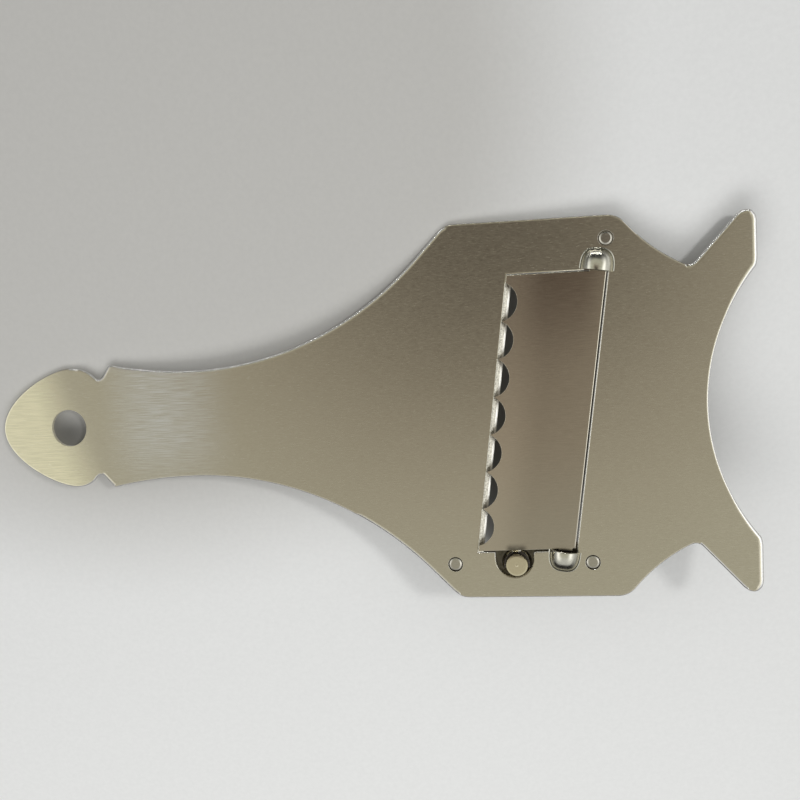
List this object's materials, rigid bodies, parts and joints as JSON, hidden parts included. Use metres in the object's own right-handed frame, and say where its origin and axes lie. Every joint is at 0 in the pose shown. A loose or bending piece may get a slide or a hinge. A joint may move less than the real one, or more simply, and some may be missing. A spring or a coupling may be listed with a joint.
{
  "type": "truffle slicer",
  "caption": "Hand-held truffle slicer: flat steel plate with handle and prongs, skewed scalloped blade rocking in pressed housings, height set by a knurled screw below.",
  "frame": {"origin": "middle of the object's length and width, at the foot of the knob", "axes": "+X along the plate from the handle to the prongs, +Y towards the blade's clip end, +Z square to the plate, up from the knob to the slicing face"},
  "size_m": [0.182, 0.0878, 0.0217],
  "materials": {
    "brushed_plate": "brushed along the length, warm grey",
    "blade_steel": "fine brushed, ground cutting edge",
    "back_steel": "plain rolled sheet",
    "rivet_steel": "brushed flush with the plate",
    "nickel_screw": "turned, satin nickel plate",
    "spring_steel": "drawn spring wire"
  },
  "bodies": {
    "frame": {"body_plate": "brushed_plate", "screw_bracket": "back_steel", "pivot_clip": "back_steel", "rivet_1": "rivet_steel", "rivet_2": "rivet_steel", "rivet_3": "rivet_steel", "tension_spring": "spring_steel"},
    "screw_carriage": {"spring_washer": "back_steel"},
    "screw": {"adjusting_screw": "nickel_screw", "knurled_knob": "nickel_screw"},
    "blade": {"blade": "blade_steel"}
  },
  "joints": [
    {"name": "screw_lift", "type": "slide", "parent": "frame", "child": "screw_carriage", "axis": [0, 0, 1], "range_m": [-0.00041, 0.00111], "deforming": ["tension_spring"]},
    {"name": "screw_turn", "type": "hinge", "parent": "screw_carriage", "child": "screw", "pos_m": [0.0352, -0.0358, 0], "axis": [0, 0, 1], "range_deg": [-147.5, 399]},
    {"name": "blade_tilt", "type": "hinge", "parent": "frame", "child": "blade", "pos_m": [0.05127, 0, 0.0189], "axis": [0.1426, 0.9898, 0], "range_deg": [-2.17, 5.87]}
  ],
  "couplings": [
    {"joint": "screw_turn", "follows": "screw_lift", "rad_per_m": 6283.2},
    {"joint": "blade_tilt", "follows": "screw_lift", "rad_per_m": 92.57}
  ]
}
